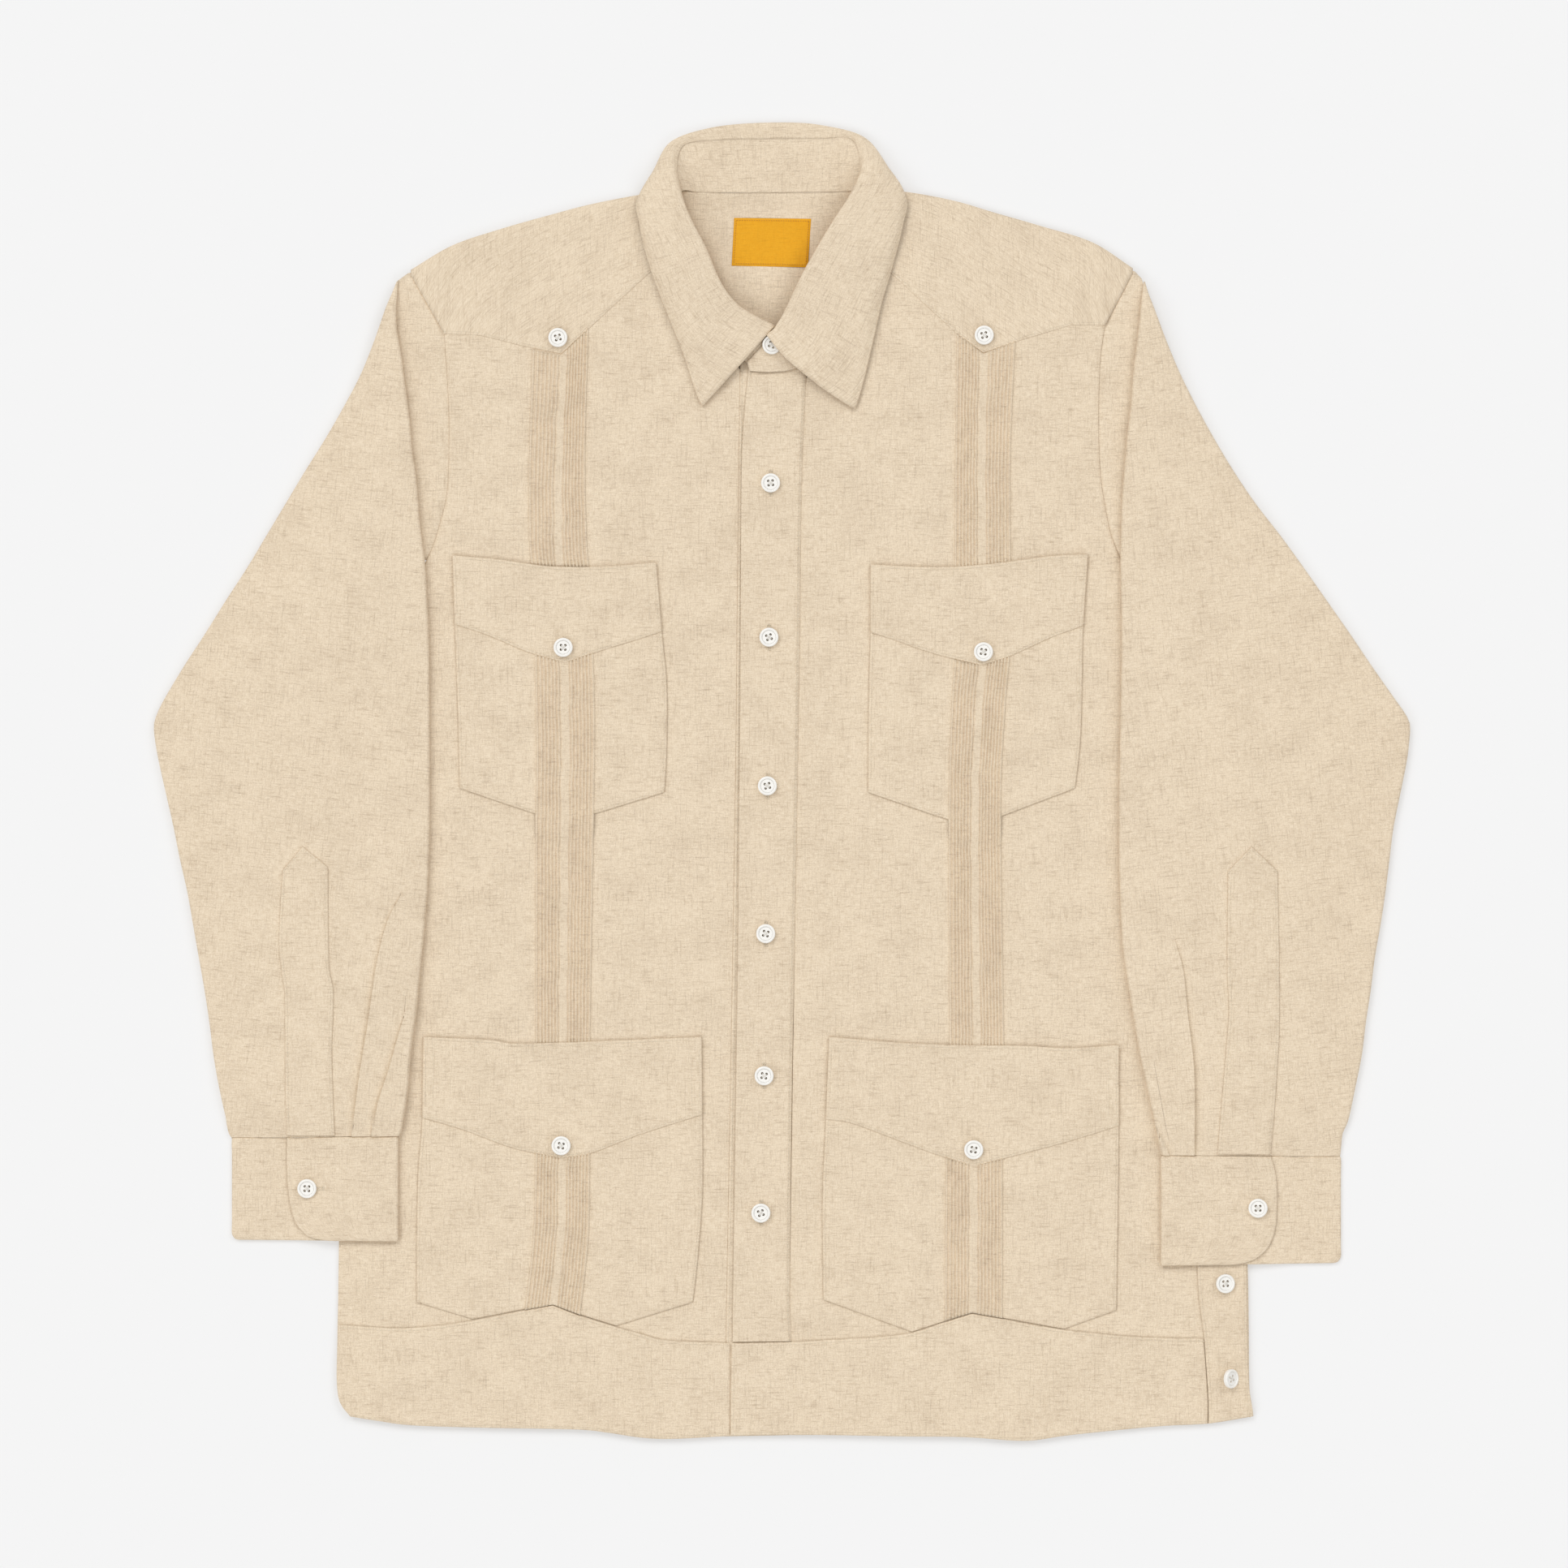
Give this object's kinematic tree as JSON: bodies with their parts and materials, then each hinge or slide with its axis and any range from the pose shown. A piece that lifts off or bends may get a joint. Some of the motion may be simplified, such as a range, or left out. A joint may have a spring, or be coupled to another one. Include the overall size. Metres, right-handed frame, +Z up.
{
  "type": "guayabera shirt laid flat",
  "caption": "Long-sleeved guayabera shirt in plain linen, buttoned and laid face up, with pin-tucked strips, patch pockets with pointed flaps, a spread collar and buttoned cuffs.",
  "frame": {"origin": "on the table under the middle of the laid shirt's outline", "axes": "+X to the wearer's left, +Y towards the collar, +Z up off the table"},
  "size_m": [0.774, 0.8118, 0.016],
  "materials": {
    "cloth": "undyed linen, slubby plain weave, matt",
    "label": "woven satin label, plain",
    "buttons": "pearly white, soft gloss"
  },
  "bodies": {
    "root": {"back": "cloth", "yoke": "cloth", "front_right": "cloth", "front_left": "cloth", "button_stand": "cloth", "placket": "cloth", "hem_right": "cloth", "hem_left": "cloth", "vent_strip": "cloth", "pocket_upper_right": "cloth", "flap_upper_right": "cloth", "pocket_upper_left": "cloth", "flap_upper_left": "cloth", "pocket_lower_right": "cloth", "flap_lower_right": "cloth", "pocket_lower_left": "cloth", "flap_lower_left": "cloth", "strip_upper_right": "cloth", "strip_upper_left": "cloth", "strip_middle_right": "cloth", "strip_middle_left": "cloth", "strip_lower_right": "cloth", "strip_lower_left": "cloth", "sleeve_right": "cloth", "sleeve_left": "cloth", "sleeve_placket_right": "cloth", "sleeve_placket_left": "cloth", "cuff_right": "cloth", "cuff_left": "cloth", "collar_stand": "cloth", "collar_leaf": "cloth", "label": "label", "button_front_1": "buttons", "button_front_2": "buttons", "button_front_3": "buttons", "button_front_4": "buttons", "button_front_5": "buttons", "button_front_6": "buttons", "button_collar": "buttons", "button_yoke_right": "buttons", "button_yoke_left": "buttons", "button_upper_right": "buttons", "button_upper_left": "buttons", "button_lower_right": "buttons", "button_lower_left": "buttons", "button_cuff_right": "buttons", "button_cuff_left": "buttons", "button_vent_1": "buttons", "button_vent_2": "buttons"}
  },
  "joints": []
}
